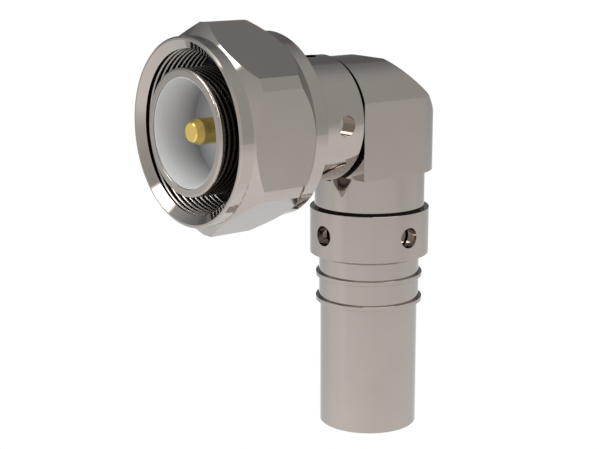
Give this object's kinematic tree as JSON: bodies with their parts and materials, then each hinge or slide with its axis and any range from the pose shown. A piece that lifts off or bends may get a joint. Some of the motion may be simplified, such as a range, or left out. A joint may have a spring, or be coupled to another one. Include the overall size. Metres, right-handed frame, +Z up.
{
  "type": "right-angle coaxial plug",
  "caption": "Right-angle coaxial plug with a turning hexagonal coupling nut, gold centre pin, bevelled elbow body, clamp collar and ridged cable tube.",
  "frame": {"origin": "centre of the outer contact's front face, on the mating axis", "axes": "+Y runs from the mating face back to the elbow, +Z is up and opposite to the cable tube, +X completes the frame"},
  "size_m": [0.019, 0.0309, 0.0452],
  "materials": {
    "plated_nut": "polished warm grey plating",
    "plated_body": "polished warm grey plating",
    "plated_tube": "polished warm grey plating",
    "spring_metal": "bright spring bronze",
    "gold_contact": "satin gold plating",
    "white_insulator": "matt white",
    "black_rubber": "matt black"
  },
  "bodies": {
    "plug": {"face_gasket": "black_rubber", "outer_contact": "plated_body", "front_body": "plated_body", "front_insulator": "white_insulator", "centre_pin": "gold_contact", "support_bead": "white_insulator", "neck_seal": "black_rubber", "elbow_body": "plated_body", "angle_contact": "gold_contact", "cable_contact": "gold_contact", "cable_bead": "white_insulator", "barrel_seal": "black_rubber", "clamp_collar": "plated_body", "braid_clamp": "plated_body", "clamp_gasket": "black_rubber", "clamp_washer": "plated_body", "stem_sleeve": "plated_tube", "cable_tube": "plated_tube"},
    "ring": {"snap_ring": "spring_metal"},
    "nut": {"coupling_nut": "plated_nut"}
  },
  "joints": [
    {"name": "nut_float", "type": "slide", "parent": "plug", "child": "ring", "axis": [0, 1, 0], "range_m": [-0.0001, 0.0006]},
    {"name": "nut_turn", "type": "hinge", "parent": "ring", "child": "nut", "pos_m": [0, 0.0054, 0], "axis": [0, 1, 0], "continuous": true}
  ]
}
